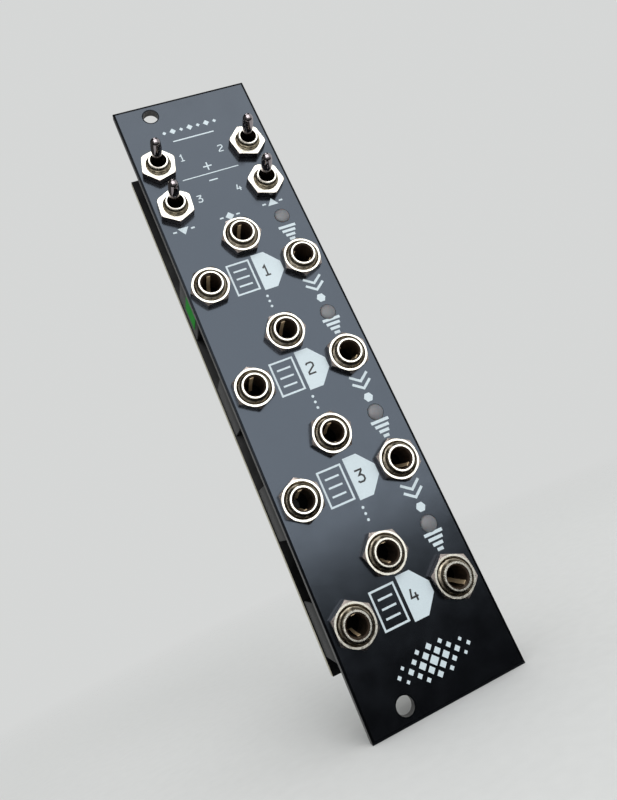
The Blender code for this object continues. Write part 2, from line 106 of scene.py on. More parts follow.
SOCKETS = {(column, channel): node_place(f"jack_bushing_{column}_{channel}")
           for column in COLUMNS for channel in CHANNELS}
TOGGLES = [node_place(f"toggle_body_{number}") for number in CHANNELS]
LIGHTS = [node_place(f"indicator_light_{number}") for number in CHANNELS]
JACK_FOOT, JACK_REACH = (corner.z for corner in node_box("jack_bushing_in_1"))
JACK_NUT_TOP = node_box("jack_nut_in_1")[1].z
TOGGLE_NUT_TOP = node_box("toggle_nut_1")[1].z
LIGHT_REACH = node_box("indicator_light_1")[1].z
HOUSING_LOW, HOUSING_HIGH = node_box("jack_housing_in_1")
BOARD_LOW, BOARD_HIGH = node_box("main_board")

# The back of the board, with z away from it and x reversed
BACK = FRONT @ Matrix.Translation((0, 0, BOARD_LOW.z * MM)) @ Matrix.Rotation(math.pi, 4, "Y")


# Shapes


class Shape:
    """Points and faces in millimetres, gathered until they become one mesh."""

    def __init__(self):
        self.points = []
        self.faces = []
        self.looks = []

    def add(self, points, faces, looks=None):
        start = len(self.points)
        self.points += [tuple(point) for point in points]
        self.faces += [[start + index for index in face] for face in faces]
        self.looks += looks or [0] * len(faces)

    def mesh(self, name, weld=0.0005):
        made = bpy.data.meshes.new(name)
        made.from_pydata(self.points, [], self.faces)
        made.polygons.foreach_set("material_index", self.looks)
        bm = bmesh.new()
        bm.from_mesh(made)
        if weld:
            bmesh.ops.remove_doubles(bm, verts=bm.verts, dist=weld)
        bmesh.ops.scale(bm, vec=(MM, MM, MM), verts=bm.verts)
        bm.to_mesh(made)
        bm.free()
        return made


def turned(shape, profile, steps, bands=(0,), centre=(0, 0), closed=False):
    """Turns a profile about z.  Its points are (radius, height), or give those for an angle, and run
    from the top down the outer side.  bands has the look of each band, the last for any further."""
    points, rings = [], []
    for entry in profile:
        if not callable(entry) and entry[0] == 0:
            rings.append([len(points)])
            points.append((*centre, entry[1]))
            continue
        ring = []
        for step in range(steps):
            angle = math.tau * step / steps
            radius, height = entry(angle) if callable(entry) else entry
            x, y = radius * math.cos(angle), radius * math.sin(angle)
            ring.append(len(points))
            points.append((centre[0] + x, centre[1] + y, height))
        rings.append(ring)
    pairs = list(zip(rings, rings[1:]))
    if closed:
        pairs.append((rings[-1], rings[0]))
    faces, looks = [], []
    for band, (upper, lower) in enumerate(pairs):
        for step in range(steps):
            after = (step + 1) % steps
            if len(upper) == 1:
                face = (upper[0], lower[step], lower[after])
            elif len(lower) == 1:
                face = (upper[step], lower[0], upper[after])
            else:
                face = (upper[step], lower[step], lower[after], upper[after])
            faces.append(face)
            looks.append(bands[min(band, len(bands) - 1)])
    shape.add(points, faces, looks)


def slab(shape, outline, low, high):
    """A flat plate of this outline, which runs anticlockwise seen from the front."""
    count = len(outline)
    points = [(x, y, low) for x, y in outline] + [(x, y, high) for x, y in outline]
    faces = [list(reversed(range(count))), list(range(count, 2 * count))]
    faces += [(i, (i + 1) % count, count + (i + 1) % count, count + i) for i in range(count)]
    shape.add(points, faces)


def box(shape, low, high):
    (x0, y0, z0), (x1, y1, z1) = low, high
    slab(shape, [(x0, y0), (x1, y0), (x1, y1), (x0, y1)], z0, z1)


def stroke(shape, path, width, low, high, closed=False):
    """A line of even width with mitred corners, between two heights."""
    path = [Vector(point) for point in path]
    count = len(path)
    left, right = [], []
    for index, point in enumerate(path):
        before = path[index - 1] if index or closed else None
        after = path[(index + 1) % count] if index < count - 1 or closed else None
        ends = ((before, point), (point, after))
        ways = [(b - a).normalized() for a, b in ends if a is not None and b is not None]
        normals = [Vector((-way.y, way.x)) for way in ways]
        if len(normals) == 2:
            offset = (normals[0] + normals[1]) / max(1 + normals[0].dot(normals[1]), 0.3)
        else:
            offset = normals[0]
        left.append(point + offset * width / 2)
        right.append(point - offset * width / 2)
    points = [(p.x, p.y, z) for z in (low, high) for p in left + right]
    faces = []
    upper = 2 * count
    for i in range(count if closed else count - 1):
        j = (i + 1) % count
        faces.append((upper + i, upper + count + i, upper + count + j, upper + j))
        faces.append((j, count + j, count + i, i))
        faces.append((i, upper + i, upper + j, j))
        faces.append((count + j, upper + count + j, upper + count + i, count + i))
    if not closed:
        faces.append((0, count, upper + count, upper))
        last = count - 1
        faces.append((upper + last, upper + count + last, count + last, last))
    shape.add(points, faces)


def disc(radius, centre, steps):
    angles = [math.tau * step / steps for step in range(steps)]
    return [(centre[0] + radius * math.cos(a), centre[1] + radius * math.sin(a)) for a in angles]


def smooth(mesh, angle):
    """Shades a mesh smooth, but for edges sharper than an angle in degrees."""
    mesh.shade_smooth()
    mesh.set_sharp_from_angle(angle=math.radians(angle))
    return mesh


# Placing and cutting


def linked(name, data):
    """A new object of this data in the scene."""
    made = bpy.data.objects.new(name, data)
    bpy.context.scene.collection.objects.link(made)
    return made


def put(name, mesh, looks, place=(0, 0, 0), turn=0, tilt=0, body=ROOT, replaces=(), base=FRONT):
    """A piece at a place in the panel's frame or another, turned by degrees, riding on its body."""
    if not mesh.materials:
        for look in looks:
            mesh.materials.append(LOOKS[look])
    if turn or tilt:
        mesh = mesh.copy()
        tilted = Matrix.Rotation(math.radians(tilt), 4, "X")
        mesh.transform(tilted @ Matrix.Rotation(math.radians(turn), 4, "Z"))
    made = linked(name, mesh)
    made.matrix_world = base @ Matrix.Translation(Vector(place) * MM)
    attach(made, body)
    if replaces:
        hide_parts(*replaces)
    return made


def bevelled(made, width, segments=2):
    rounded = made.modifiers.new("Edges", "BEVEL")
    rounded.width = width * MM
    rounded.segments = segments
    rounded.limit_method = "ANGLE"
    rounded.angle_limit = math.radians(40)
    return made


def lump(name, shape):
    """An object from a shape, to be cut or baked."""
    return linked(name, shape.mesh(name))


def baked(piece, *tools):
    """The mesh of a piece with its modifiers applied.  The piece and its tools go."""
    bpy.context.view_layer.update()
    mesh = bpy.data.meshes.new_from_object(piece.evaluated_get(bpy.context.evaluated_depsgraph_get()))
    for spent in (piece, *tools):
        bpy.data.objects.remove(spent)
    return mesh


def carved(name, piece, *cuts):
    """The mesh of a piece with these shapes cut out of it, one after another."""
    for cut in cuts:
        tool = lump("cut", cut)
        boolean = piece.modifiers.new("Cut", "BOOLEAN")
        boolean.solver = "EXACT"
        boolean.operation = "DIFFERENCE"
        boolean.object = tool
        piece = linked("carved", baked(piece, tool))
    mesh = baked(piece)
    mesh.name = name
    mesh.materials.clear()
    return mesh


# Materials


class Look:
    """A Principled material with helpers for the nodes that vary it."""

    def __init__(self, name, colour, roughness, metallic=0.0):
        self.material = bpy.data.materials.new(name)
        self.material.use_nodes = True
        self.tree = self.material.node_tree
        self.shader = self.tree.nodes["Principled BSDF"]
        self.value("Base Color", (*colour, 1)).value("Roughness", roughness).value("Metallic", metallic)
        self.coords = self.node("ShaderNodeTexCoord").outputs["Object"]

    def node(self, kind, **values):
        made = self.tree.nodes.new(kind)
        for name, value in values.items():
            made.inputs[name].default_value = value
        return made

    def link(self, output, target):
        self.tree.links.new(output, target)
        return self

    def value(self, name, amount):
        self.shader.inputs[name].default_value = amount
        return self

    def noise(self, count, detail, roughness=0.5, stretch=None):
        """A texture with this many features for each millimetre."""
        made = self.node("ShaderNodeTexNoise", Scale=count / MM, Detail=detail, Roughness=roughness)
        source = self.coords
        if stretch:
            mapping = self.node("ShaderNodeMapping", Scale=stretch)
            self.link(source, mapping.inputs["Vector"])
            source = mapping.outputs["Vector"]
        self.link(source, made.inputs["Vector"])
        return made.outputs["Fac"]

    def ramp(self, source, low, high, from_low=0.3, from_high=0.7):
        limits = {"From Min": from_low, "From Max": from_high, "To Min": low, "To Max": high}
        made = self.node("ShaderNodeMapRange", **limits)
        self.link(source, made.inputs["Value"])
        return made.outputs["Result"]

    def maths(self, operation, first, second=0.0):
        made = self.node("ShaderNodeMath")
        made.operation = operation
        for socket, item in zip(made.inputs, (first, second)):
            if isinstance(item, (int, float)):
                socket.default_value = item
            else:
                self.link(item, socket)
        return made.outputs[0]

    def blend(self, amount, first, second):
        """A colour between two, each a colour or a socket."""
        made = self.node("ShaderNodeMix")
        made.data_type = "RGBA"
        self.link(amount, made.inputs["Factor"])
        for name, item in (("A", first), ("B", second)):
            socket = [s for s in made.inputs if s.name == name and s.type == "RGBA"][0]
            if isinstance(item, tuple):
                socket.default_value = (*item, 1)
            else:
                self.link(item, socket)
        return [s for s in made.outputs if s.type == "RGBA"][0]

    def colour(self, output):
        return self.link(output, self.shader.inputs["Base Color"])

    def mottle(self, source, first, second):
        """Varies the colour between two after a texture."""
        return self.colour(self.blend(self.ramp(source, 0, 1), first, second))

    def roughness(self, output):
        return self.link(output, self.shader.inputs["Roughness"])

    def bump(self, output, depth):
        """Bump whose depth is in millimetres."""
        made = self.node("ShaderNodeBump", Strength=1.0, Distance=depth * MM)
        self.link(output, made.inputs["Height"])
        return self.link(made.outputs["Normal"], self.shader.inputs["Normal"])

    def fade(self, amount):
        """Lets the surface go clear as an amount rises to 1."""
        clear = self.node("ShaderNodeBsdfTransparent")
        mix = self.node("ShaderNodeMixShader")
        for socket, output in zip(mix.inputs, (amount, self.shader.outputs[0], clear.outputs[0])):
            self.link(output, socket)
        return self.link(mix.outputs[0], self.tree.nodes["Material Output"].inputs["Surface"])

    def split(self):
        made = self.node("ShaderNodeSeparateXYZ")
        self.link(self.coords, made.inputs[0])
        return made.outputs

    def radius(self):
        """The distance from the piece's own z axis."""
        x, y, _ = self.split()
        squares = [self.maths("MULTIPLY", part, part) for part in (x, y)]
        return self.maths("SQRT", self.maths("ADD", *squares))


def mask_look(name, colour, lighter, gloss, roughness):
    """Solder mask: near black under a smooth gloss, with a painted blue tint in its reflections that stands
    in for bluish light.
    """
    look = Look(name, colour, roughness)
    # The blue Specular Tint is a painted tint of bluish light in the reflections
    look.value("IOR", 1.55).value("Specular IOR Level", gloss).value("Specular Tint", (0.70, 0.826, 1.0, 1.0))
    grime = look.noise(0.25, 4)
    look.mottle(grime, colour, lighter)
    look.roughness(look.ramp(grime, roughness * 0.85, roughness * 1.25))
    look.bump(look.noise(0.7, 3), 0.004)
    return look.material


def laminate_look(name, dark, light):
    """The cut edge of glass laminate, in layers with pale fibres."""
    look = Look(name, light, 0.6)
    look.value("Specular IOR Level", 0.25)
    layers = look.noise(2.0, 3, 0.6, (0.35, 0.35, 6.0))
    fibres = look.noise(9.0, 2)
    tone = look.blend(look.ramp(layers, 0, 1), dark, light)
    look.colour(look.blend(look.ramp(fibres, 0, 0.35), tone, (0.12, 0.11, 0.08)))
    look.bump(fibres, 0.02)
    return look.material


def ink_look(name, colour):
    look = Look(name, colour, 0.5)
    fine = look.noise(6.0, 3)
    dark = tuple(channel * 0.95 for channel in colour)
    look.colour(look.blend(look.ramp(fine, 0, 1, 0.35, 0.6), colour, dark))
    look.roughness(look.ramp(fine, 0.42, 0.6))
    look.bump(fine, 0.0015)
    return look.material


def plated_look(name, colour, tint, roughness, rings=0, metallic=1.0):
    """Plated metal with faint stains, and with turning marks about its own axis where it has rings."""
    look = Look(name, colour, roughness, metallic)
    look.mottle(look.noise(0.6, 4), colour, tint)
    look.roughness(look.ramp(look.noise(2.2, 3), roughness * 0.8, roughness * 1.35))
    if rings:
        along = look.maths("ADD", look.radius(), look.split()[2])
        marks = look.maths("SINE", look.maths("MULTIPLY", along, rings / MM))
        look.bump(look.maths("ADD", marks, look.noise(2.0, 2)), 0.0004)
    else:
        look.bump(look.noise(3.0, 2), 0.002)
    return look.material


def thread_look(name, thread, bright, dark):
    """Plated metal in a darker copy of the lip's plating, with painted shade that deepens down in the root of
    its thread.
    """
    crest, depth, _ = thread
    roughness = 0.28
    look = Look(name, bright, roughness, 1.0)
    worn = look.noise(1.8, 3)
    # Painted shade: the colour falls to the dark one towards the root of the thread
    unshaded = look.ramp(look.radius(), 0, 1, (crest - 0.7 * depth) * MM, (crest - 0.15 * depth) * MM)
    look.colour(look.blend(look.maths("MULTIPLY", unshaded, look.ramp(worn, 0.75, 1)), dark, bright))
    look.roughness(look.ramp(worn, roughness * 1.3, roughness * 0.8))
    look.bump(look.noise(3.0, 2), 0.002)
    return look.material


def lever_look(bright, dark, foot_from, foot_to):
    """Polished plate with painted shade that darkens it towards the foot of the lever, between two heights
    over its pivot.
    """
    look = Look("lever_chrome", bright, 0.06, 1.0)
    worn = look.noise(0.8, 4)
    # Painted shade: darkest below foot_from, full colour above foot_to
    unshaded = look.ramp(look.split()[2], 0, 1, foot_from * MM, foot_to * MM)
    look.colour(look.blend(look.maths("MULTIPLY", unshaded, look.ramp(worn, 0.85, 1)), dark, bright))
    look.roughness(look.ramp(worn, 0.05, 0.09))
    look.bump(look.noise(3.0, 2), 0.002)
    return look.material


def moulded_look(name, colour, roughness, grain=0.004, gloss=0.5):
    look = Look(name, colour, roughness)
    look.value("Specular IOR Level", gloss)
    lighter = tuple(min(channel * 1.15 + 0.002, 1) for channel in colour)
    look.mottle(look.noise(0.5, 3), colour, lighter)
    fine = look.noise(4.0, 3)
    look.roughness(look.ramp(fine, roughness * 0.85, roughness * 1.2))
    look.bump(fine, grain)
    return look.material


def lens_look():
    look = Look("frosted_lens", (0.17, 0.175, 0.19), 0.42)
    look.value("Subsurface Weight", 0.25).value("Subsurface Scale", 0.0008)
    fine = look.noise(8.0, 2)
    look.mottle(fine, (0.15, 0.153, 0.166), (0.19, 0.194, 0.208))
    look.roughness(look.ramp(fine, 0.36, 0.5))
    look.bump(fine, 0.003)
    return look.material


def board_look():
    """Black solder mask, flatter than the panel's."""
    look = Look("board_solder_mask", (0.003, 0.0034, 0.0036), 0.3)
    look.value("Specular IOR Level", 0.12)
    grime = look.noise(0.3, 4)
    look.mottle(grime, (0.0024, 0.0028, 0.003), (0.0042, 0.0047, 0.005))
    look.roughness(look.ramp(grime, 0.24, 0.4))
    look.bump(look.noise(2.5, 2), 0.002)
    return look.material


# Crest radius, depth and pitch of each thread
JACK_THREAD = (2.95, 0.36, 0.55)
TOGGLE_THREAD = (2.45, 0.4, 0.7)

LOOKS = {
    "mask": mask_look("panel_solder_mask", (0.0035, 0.0038, 0.0046), (0.005, 0.0054, 0.0066), 0.7, 0.17),
    "margin": mask_look("panel_margin", (0.0016, 0.0017, 0.002), (0.0024, 0.0025, 0.003), 0.12, 0.3),
    "laminate": laminate_look("laminate_edge", (0.42, 0.39, 0.29), (0.76, 0.73, 0.60)),
    "panel_edge": laminate_look("panel_edge", (0.07, 0.07, 0.075), (0.16, 0.16, 0.165)),
    "ink": ink_look("pale_ink", (0.66, 0.76, 0.81)),
    "dark_ink": ink_look("dark_ink", (0.012, 0.013, 0.016)),
    "nickel": plated_look("nickel_plate", (0.86, 0.84, 0.76), (0.80, 0.77, 0.68), 0.24, 14),
    "nut": plated_look("nut_plate", (0.88, 0.86, 0.77), (0.82, 0.79, 0.69), 0.3, 14),
    # The nut's chamfer, sides and mouth are darker copies of its plating: painted shade, with a rosy painted
    # reflection on the chamfer
    "painted_shade_bevel": plated_look("nut_painted_shade_bevel_plate", (0.66, 0.58, 0.54), (0.58, 0.50, 0.46), 0.3),
    "painted_shade_flank": plated_look("painted_shade_flank_plate", (0.21, 0.18, 0.17), (0.16, 0.135, 0.13), 0.24),
    "painted_shade_countersink": plated_look("painted_shade_countersink_plate", (0.50, 0.44, 0.34), (0.40, 0.34, 0.26), 0.3),
    # Threads are darker copies of the bushings' plating, with painted shade in their roots
    "thread": thread_look("jack_thread_plate", JACK_THREAD, (0.60, 0.54, 0.43), (0.13, 0.11, 0.08)),
    "toggle_thread": thread_look("toggle_thread_plate", TOGGLE_THREAD, (0.60, 0.52, 0.37),
                                 (0.02, 0.016, 0.012)),
    # The lever's dark colour towards its foot is painted shade
    "lever": lever_look((0.38, 0.34, 0.355), (0.05, 0.035, 0.03), 2.0, 4.2),
    # The bore wall is painted dark brown: painted shade inside the socket's mouth
    "bore": plated_look("painted_shade_bore_wall", (0.07, 0.046, 0.03), (0.045, 0.03, 0.02), 0.38, metallic=0.4),
    "brass": plated_look("contact_brass", (0.86, 0.67, 0.43), (0.76, 0.57, 0.35), 0.4, metallic=0.25),
    "gold": plated_look("pin_gold", (0.90, 0.70, 0.32), (0.84, 0.62, 0.26), 0.2),
    "solder": plated_look("solder", (0.66, 0.66, 0.68), (0.56, 0.57, 0.60), 0.25),
    "steel": plated_look("frame_steel", (0.44, 0.43, 0.40), (0.36, 0.35, 0.32), 0.34),
    "can": plated_look("capacitor_aluminium", (0.72, 0.72, 0.73), (0.64, 0.64, 0.66), 0.3, 30),
    "housing": moulded_look("housing_plastic", (0.005, 0.005, 0.006), 0.42, gloss=0.06),
    "liner": moulded_look("liner_plastic", (0.008, 0.007, 0.006), 0.4),
    "case": moulded_look("case_plastic", (0.016, 0.017, 0.019), 0.42),
    "header": moulded_look("header_plastic", (0.014, 0.014, 0.015), 0.5, 0.008),
    "chip": moulded_look("chip_plastic", (0.020, 0.020, 0.022), 0.55, 0.01),
    "green": moulded_look("green_mark", (0.016, 0.25, 0.026), 0.75, gloss=0.05),
    "lens": lens_look(),
    "board": board_look(),
}


# Front panel

MOUNT_HOLE_RADIUS, MOUNT_INSET_X, MOUNT_INSET_Y = 1.6, 7.5, 2.9
MOUNT_HOLES = [(MOUNT_INSET_X - PANEL_WIDTH / 2, side * (PANEL_HEIGHT / 2 - MOUNT_INSET_Y))
               for side in (1, -1)]
JACK_HOLE_RADIUS, TOGGLE_HOLE_RADIUS, LIGHT_HOLE_RADIUS = 3.25, 2.75, 1.63
POUR_MARGIN, POUR_HOLE_MARGIN, POUR_HIGH = 0.47, 0.25, 0.03


def part_holes():
    """The panel's holes for sockets, switches and lights, each as its middle and radius."""
    holes = [(*place, JACK_HOLE_RADIUS) for place in SOCKETS.values()]
    holes += [(*node_place(f"toggle_nut_{number}"), TOGGLE_HOLE_RADIUS) for number in CHANNELS]
    return holes + [(*place, LIGHT_HOLE_RADIUS) for place in LIGHTS]


def drilled(name, blank, mount_radius):
    """The blank's mesh with all the panel's holes through it."""
    drills = Shape()
    bottom = -PANEL_THICKNESS - 1
    for x, y, radius in part_holes() + [(*place, mount_radius) for place in MOUNT_HOLES]:
        turned(drills, [(0, 1), (radius, 1), (radius, bottom), (0, bottom)], 48, centre=(x, y))
    return carved(name, blank, drills)


def plate_piece(name, mesh, looks, node):
    """A flat piece with one look on its faces and another round its edges."""
    for face in mesh.polygons:
        face.material_index = 0 if abs(face.normal.z) > 0.5 else 1
    put(name, smooth(mesh, 50), looks, replaces=[node])


def front_panel():
    plate = Shape()
    x, y = PANEL_WIDTH / 2, PANEL_HEIGHT / 2
    box(plate, (-x, -y, -PANEL_THICKNESS), (x, y, 0))
    mesh = drilled("panel_plate", bevelled(lump("panel_blank", plate), 0.1), MOUNT_HOLE_RADIUS)
    plate_piece("panel_plate", mesh, ("margin", "panel_edge"), "front_panel")
    # The mask stands a little higher where there is copper under it
    pour = Shape()
    x, y = x - POUR_MARGIN, y - POUR_MARGIN
    box(pour, (-x, -y, -0.02), (x, y, POUR_HIGH))
    mesh = drilled("panel_pour", lump("pour_blank", pour), MOUNT_HOLE_RADIUS + POUR_HOLE_MARGIN)
    put("panel_pour", mesh, ["mask"])


# Printed marks

INK_LOW, INK_HIGH = POUR_HIGH - 0.01, POUR_HIGH + 0.02
DARK_LOW, DARK_HIGH = INK_HIGH - 0.004, INK_HIGH + 0.012
LINE = 0.36

# Strokes of plain digits, on a cell one wide and one and a half high
CELL_HEIGHT = 1.5
GLYPHS = {
    "1": [[(0.15, 1.15), (0.5, 1.5), (0.5, 0)], [(0.1, 0), (0.9, 0)]],
    "2": [[(0, 1.3), (0.2, 1.5), (0.75, 1.5), (0.95, 1.3), (0.95, 0.95), (0, 0.25), (0, 0), (0.95, 0)]],
    "3": [[(0, 1.5), (0.9, 1.5), (0.9, 1.35), (0.4, 0.85), (0.7, 0.85), (0.95, 0.6), (0.95, 0.22),
           (0.72, 0), (0.2, 0), (0, 0.2)]],
    "4": [[(0.28, 1.5), (0, 0.5), (0.95, 0.5)], [(0.68, 0.95), (0.68, 0)]],
}


def write(shape, digit, middle, height, width, low=INK_LOW, high=INK_HIGH):
    """A plain digit round a middle point."""
    size = height / CELL_HEIGHT
    left, foot = middle[0] - size / 2, middle[1] - height / 2
    # A stroke that crosses another lies a little higher
    for order, path in enumerate(GLYPHS[digit]):
        points = [(left + size * x, foot + size * y) for x, y in path]
        stroke(shape, points, width, low, high + 0.003 * order)


def line(shape, path, width=LINE, closed=False):
    stroke(shape, path, width, INK_LOW, INK_HIGH, closed)


def fill(shape, outline):
    slab(shape, outline, INK_LOW, INK_HIGH)


def dashes(shape, x, y, near, far):
    """A short line on either side of a mark."""
    for side in (-1, 1):
        line(shape, [(x + side * near, y), (x + side * far, y)])


def diamond(middle, half):
    x, y = middle
    return [(x - half, y), (x, y - half), (x + half, y), (x, y + half)]


def channel_marks(pale, dark, channel):
    """Plain signal path marks between the sockets of one channel."""
    (in_x, y), (cv_x, _), (out_x, _) = (SOCKETS[column, channel] for column in COLUMNS)
    light_x = LIGHTS[channel - 1][0]
    last = channel == CHANNELS[-1]
    # A striped window beside the input
    left, right, top, low = in_x + 4.7, cv_x - 0.75, y + 3.3, y - 3.3
    line(pale, [(left, low), (right, low), (right, top), (left, top)], closed=True)
    for step in range(1, 4):
        height = low + (top - low) * step / 4
        line(pale, [(left + 0.9, height), (right - 0.9, height)])
    # A filled tag with the channel's number, towards the output
    tip, base, knee = out_x - 4.2, cv_x + 0.1, cv_x + 2.9
    outline = [(base, y - 4.0), (knee, y - 4.0), (tip, y - 1.0)]
    fill(pale, outline + [(tip, y + 1.0), (knee, y + 4.0), (base, y + 4.0)])
    write(dark, str(channel), (base + 1.9, y), 2.2, 0.34, DARK_LOW, DARK_HIGH)
    # A dotted feed towards the next control socket
    for step in range(0 if last else 3):
        fill(pale, disc(0.27, (cv_x, y - 5.3 - 1.15 * step), 16))
    # Bars that widen up to the light
    for step in range(4):
        height = y + 4.9 + 0.98 * step
        half = 0.6 + 0.42 * step
        line(pale, [(light_x - half, height), (light_x + half, height)], 0.58)
    # Chevrons below the output
    if not last:
        for step in range(2):
            height = y - 5.2 - 1.5 * step
            arms = [(light_x - 1.9, height + 0.7), (light_x, height - 0.7), (light_x + 1.9, height + 0.7)]
            line(pale, arms, 0.5)
        fill(pale, disc(0.95, (light_x, y - 9.3), 6))


def printed_marks():
    pale, dark = Shape(), Shape()
    for channel in CHANNELS:
        channel_marks(pale, dark, channel)
    in_x, cv_x, out_x = (SOCKETS[column, 1][0] for column in COLUMNS)
    # Pointers above the three columns: down into a socket, up out of one, and a plain lozenge
    for x, y, way in ((in_x - 0.3, 33.2, -1), (out_x - 0.3, 33.5, 1)):
        triangle = [(x - 1.15, y - 0.6 * way), (x + 1.15, y - 0.6 * way), (x, y + 1.0 * way)]
        fill(pale, triangle if way > 0 else triangle[::-1])
        dashes(pale, x, y, 1.5, 2.3)
    x, y = cv_x - 0.3, 33.3
    fill(pale, diamond((x, y), 0.95))
    dashes(pale, x, y, 1.4, 2.2)
    for number, middle in zip("1234", ((-4.8, 49.5), (3.9, 49.4), (-4.8, 39.0), (4.0, 39.1))):
        write(pale, number, middle, 1.5, 0.24)
    # The switch positions, above and below a divider
    line(pale, [(-6.6, 44.2), (5.9, 44.2)], 0.22)
    x, y, arm, half = -0.4, 46.0, 0.95, 0.15
    cross = [(-arm, -half), (-half, -half), (-half, -arm), (half, -arm), (half, -half), (arm, -half)]
    cross += [(-dx, -dy) for dx, dy in cross]
    fill(pale, [(x + dx, y + dy) for dx, dy in cross])
    line(pale, [(x - arm, 42.5), (x + arm, 42.5)], 2 * half)
    # A plain ornament where the heading is
    for index in range(7):
        fill(pale, diamond((-0.5 + (index - 3) * 1.9, 56.4), 0.72 if index % 2 else 0.45))
    line(pale, [(-5.1, 53.9), (4.1, 53.9)], 0.3)
    # A field of lozenges near the lower end
    pitch = 1.14
    for row in range(-2, 3):
        for column in range(-6, 7):
            reach = 1 - abs(column) / 7.5 - abs(row) / 4.2
            if reach > 0 and (row + column) % 2 == 0:
                fill(pale, diamond((0.3 + column * pitch, -57.3 + row * pitch), 0.32 + 0.62 * reach))
    put("printed_marks", pale.mesh("printed_marks", 0), ["ink"])
    put("printed_numbers", dark.mesh("printed_numbers", 0), ["dark_ink"])


# Nuts and threads

NUT_SEAT = POUR_HIGH + 0.005
NUT_FACE_RADIUS = 3.72
# All looks but the first are painted shade on the nut's mouth, sides and chamfer
NUT_LOOKS = ("nut", "painted_shade_countersink", "painted_shade_flank", "painted_shade_bevel")

# How far each nut's corner is turned from the panel's x axis, in degrees
NUT_TURNS = {
    "in": (3, 27, 27, 30),
    "cv": (57, 57, 9, 47),
    "out": (20, 19, 33, 38),
    "toggle": (15, 42, 25, 42),
}
SPRING_TURNS = {"in": 0, "cv": 0, "out": -140}


def nut_mesh(name, flats, high, hole, sink, slope):
    """A hexagon nut with its corners turned off and its thread's mouth countersunk."""
    low = NUT_SEAT
    fall = math.tan(math.radians(slope))

    def reach(angle):
        return flats / 2 / math.cos(angle % (math.pi / 3) - math.pi / 6)

    shape = Shape()
    profile = [
        lambda angle: (min(NUT_FACE_RADIUS, reach(angle) - 0.02), high),
        lambda angle: (reach(angle), high - max(reach(angle) - NUT_FACE_RADIUS, 0.02) * fall),
        lambda angle: (reach(angle), low + 0.08),
        lambda angle: (reach(angle) - 0.12, low),
        (hole, low),
        (hole, high - (sink - hole)),
        (sink, high),
    ]
    # The mouth, side and chamfer bands take the painted shade looks
    turned(shape, profile, 96, [3, 2, 2, 0, 1, 1, 0], closed=True)
    return smooth(shape.mesh(name), 20)


def tooth(turn):
    """The depth of a thread, from 0 at its crest to 1 at its root."""
    return min(max(abs(2 * (turn % 1.0) - 1) * 1.35 - 0.15, 0), 1)


def threaded(top, bottom, thread, mouth, slope):
    """Profile entries of a thread from a height down to another.  A cone turns its start off: it has
    the mouth's radius at the top and grows by the slope for each millimetre below that."""
    crest, depth, pitch = thread

    def ring(height):
        widest = mouth + (top - height) * slope

        def place(angle):
            return min(crest - depth * tooth(height / pitch - angle / math.tau), widest), height
        return place

    count = max(2, round((top - bottom) / pitch * 10))
    return [ring(top + (bottom - top) * step / count) for step in range(count + 1)]


# Jack sockets

BORE_FLOOR = 1.2


def jack_bushing_mesh():
    """A threaded bushing with a turned lip and a plain bore."""
    top = JACK_REACH
    lip = [(2.15, top), (2.42, top), (2.48, top - 0.05), (2.5, top - 0.2), (2.36, top - 0.25),
           (2.36, top - 0.35)]
    thread = threaded(top - 0.38, -1.6, JACK_THREAD, 2.5, 1.05)
    wall = [(2.6, -1.75), (2.6, JACK_FOOT), (1.87, JACK_FOOT), (1.87, top - 0.35)]
    bands = [0, 0, 0, 1, 1, 1] + [1] * (len(thread) + 2) + [2, 2]
    shape = Shape()
    turned(shape, lip + thread + wall, 72, bands, closed=True)
    return smooth(shape.mesh("jack_thread"), 28)


def jack_liner_mesh():
    """The floor of a socket's bore."""
    shape = Shape()
    back = HOUSING_LOW.z + BORE_FLOOR + 0.05
    turned(shape, [(0, back + 0.1), (1.8, back + 0.1), (1.8, back), (0, back)], 32)
    return shape.mesh("jack_liner")


def spring_mesh():
    """Two bent leaves that touch the plug, a long one above the middle and a short one below."""
    shape = Shape()
    upper = [(1.78, 1.9), (1.7, 0.2), (1.45, -1.6), (1.0, -3.4), (0.85, -4.1), (1.1, -4.9),
             (1.65, -7.4), (1.7, -9.4)]
    lower = [(-1.78, 1.0), (-1.6, -1.4), (-1.25, -3.0), (-1.1, -3.7), (-1.3, -4.5), (-1.7, -6.4),
             (-1.72, -8.6)]
    for path, left, right, thick in ((upper, -0.2, 0.55, -0.12), (lower, -0.3, 0.25, 0.12)):
        points = []
        for y, z in path:
            points += [(left, y, z), (right, y, z), (right, y + thick, z), (left, y + thick, z)]
        faces = []
        end = len(points) - 4
        for start in range(0, end, 4):
            for i in range(4):
                j = (i + 1) % 4
                faces.append((start + i, start + j, start + 4 + j, start + 4 + i))
        faces += [(3, 2, 1, 0), (end, end + 1, end + 2, end + 3)]
        shape.add(points, faces if thick < 0 else [face[::-1] for face in faces])
    return smooth(shape.mesh("jack_spring"), 50)


def housing_mesh():
    """A moulded socket body, bored for its bushing and for the plug."""
    half_x, half_y = half_sizes(HOUSING_LOW, HOUSING_HIGH)
    floor_z = HOUSING_LOW.z + BORE_FLOOR
    body, bore = Shape(), Shape()
    box(body, (-half_x, -half_y, HOUSING_LOW.z), (half_x, half_y, HOUSING_HIGH.z))
    steps = [(0, 1), (3.1, 1), (3.1, JACK_FOOT), (1.86, JACK_FOOT), (1.86, floor_z), (0, floor_z)]
    turned(bore, steps, 48)
    return smooth(carved("jack_shell", bevelled(lump("housing_blank", body), 0.22, 3), bore), 40)


